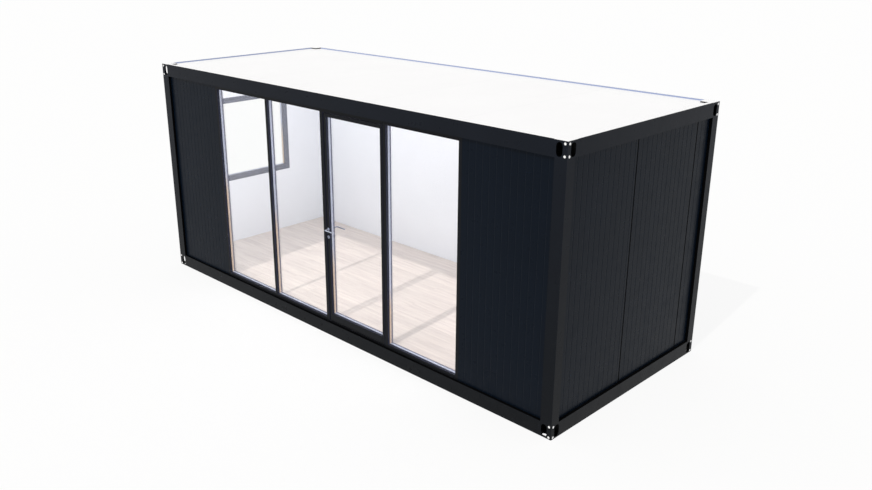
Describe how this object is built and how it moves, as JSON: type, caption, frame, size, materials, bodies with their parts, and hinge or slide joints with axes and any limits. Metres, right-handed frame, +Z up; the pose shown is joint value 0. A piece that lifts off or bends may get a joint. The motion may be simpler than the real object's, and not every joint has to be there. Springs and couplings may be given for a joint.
{
  "type": "glazed container cabin",
  "caption": "Steel-framed container cabin with ribbed wall panels, a glazed front with a hinged glass door, an end window, a board floor and a flat tray roof.",
  "frame": {"origin": "centre of the plan at the level of the castings' undersides", "axes": "+Z up, +X along the cabin to the plain end wall, -Y out of the glazed front"},
  "size_m": [6, 2.431, 2.6],
  "materials": {
    "casting_steel": "satin",
    "frame_steel": "satin",
    "wall_panel": "satin",
    "white_lining": "satin",
    "roof_sheet": "satin",
    "galvanised_sheet": "galvanised",
    "floor_board": "satin laminate",
    "frame_profile": "satin",
    "door_profile": "satin",
    "window_profile": "satin",
    "threshold_metal": "dark anodised",
    "glass": "clear",
    "hinge_metal": "satin",
    "handle_metal": "satin",
    "lock_metal": "satin"
  },
  "bodies": {
    "cabin": {"corner_castings_front_left": "casting_steel", "corner_post_front_left": "frame_steel", "corner_castings_front_right": "casting_steel", "corner_post_front_right": "frame_steel", "corner_castings_back_left": "casting_steel", "corner_post_back_left": "frame_steel", "corner_castings_back_right": "casting_steel", "corner_post_back_right": "frame_steel", "floor_rail_front": "frame_steel", "roof_rail_front": "frame_steel", "floor_rail_back": "frame_steel", "roof_rail_back": "frame_steel", "floor_rail_left": "frame_steel", "roof_rail_left": "frame_steel", "floor_rail_right": "frame_steel", "roof_rail_right": "frame_steel", "floor_deck": "floor_board", "belly_sheet": "galvanised_sheet", "floor_joists": "galvanised_sheet", "ceiling": "white_lining", "roof_bearers": "galvanised_sheet", "roof_tray": "roof_sheet", "roof_edges": "roof_sheet", "front_panel_left": "wall_panel", "front_panel_right": "wall_panel", "back_wall": "wall_panel", "right_wall": "wall_panel", "left_wall_sides": "wall_panel", "left_wall_middle": "wall_panel", "frame_uprights": "frame_profile", "door_posts": "frame_profile", "frame_heads": "frame_profile", "frame_sills": "frame_profile", "door_threshold": "threshold_metal", "fixed_glass": "glass", "hinge_post_halves": "hinge_metal", "window_frame_sides": "window_profile", "window_frame_rails": "window_profile", "window_sash_stiles": "window_profile", "window_sash_rails": "window_profile", "window_glass": "glass", "window_handle": "handle_metal"},
    "door": {"door_stiles": "door_profile", "door_rails": "door_profile", "door_glass": "glass", "hinge_door_halves": "hinge_metal", "door_escutcheons": "handle_metal", "lock_core": "lock_metal"},
    "lever": {"door_lever": "handle_metal"}
  },
  "joints": [
    {"name": "door_hinge", "type": "hinge", "parent": "cabin", "child": "door", "pos_m": [0.9, -1.089, 1.286], "axis": [0, 0, -1], "range_deg": [0, 95]},
    {"name": "lever_turn", "type": "hinge", "parent": "door", "child": "lever", "pos_m": [0.0615, -1.1345, 1.195], "axis": [0, 1, 0], "range_deg": [0, 40], "stiffness_Nm_per_rad": 1.5, "springref_deg": -20.05}
  ]
}
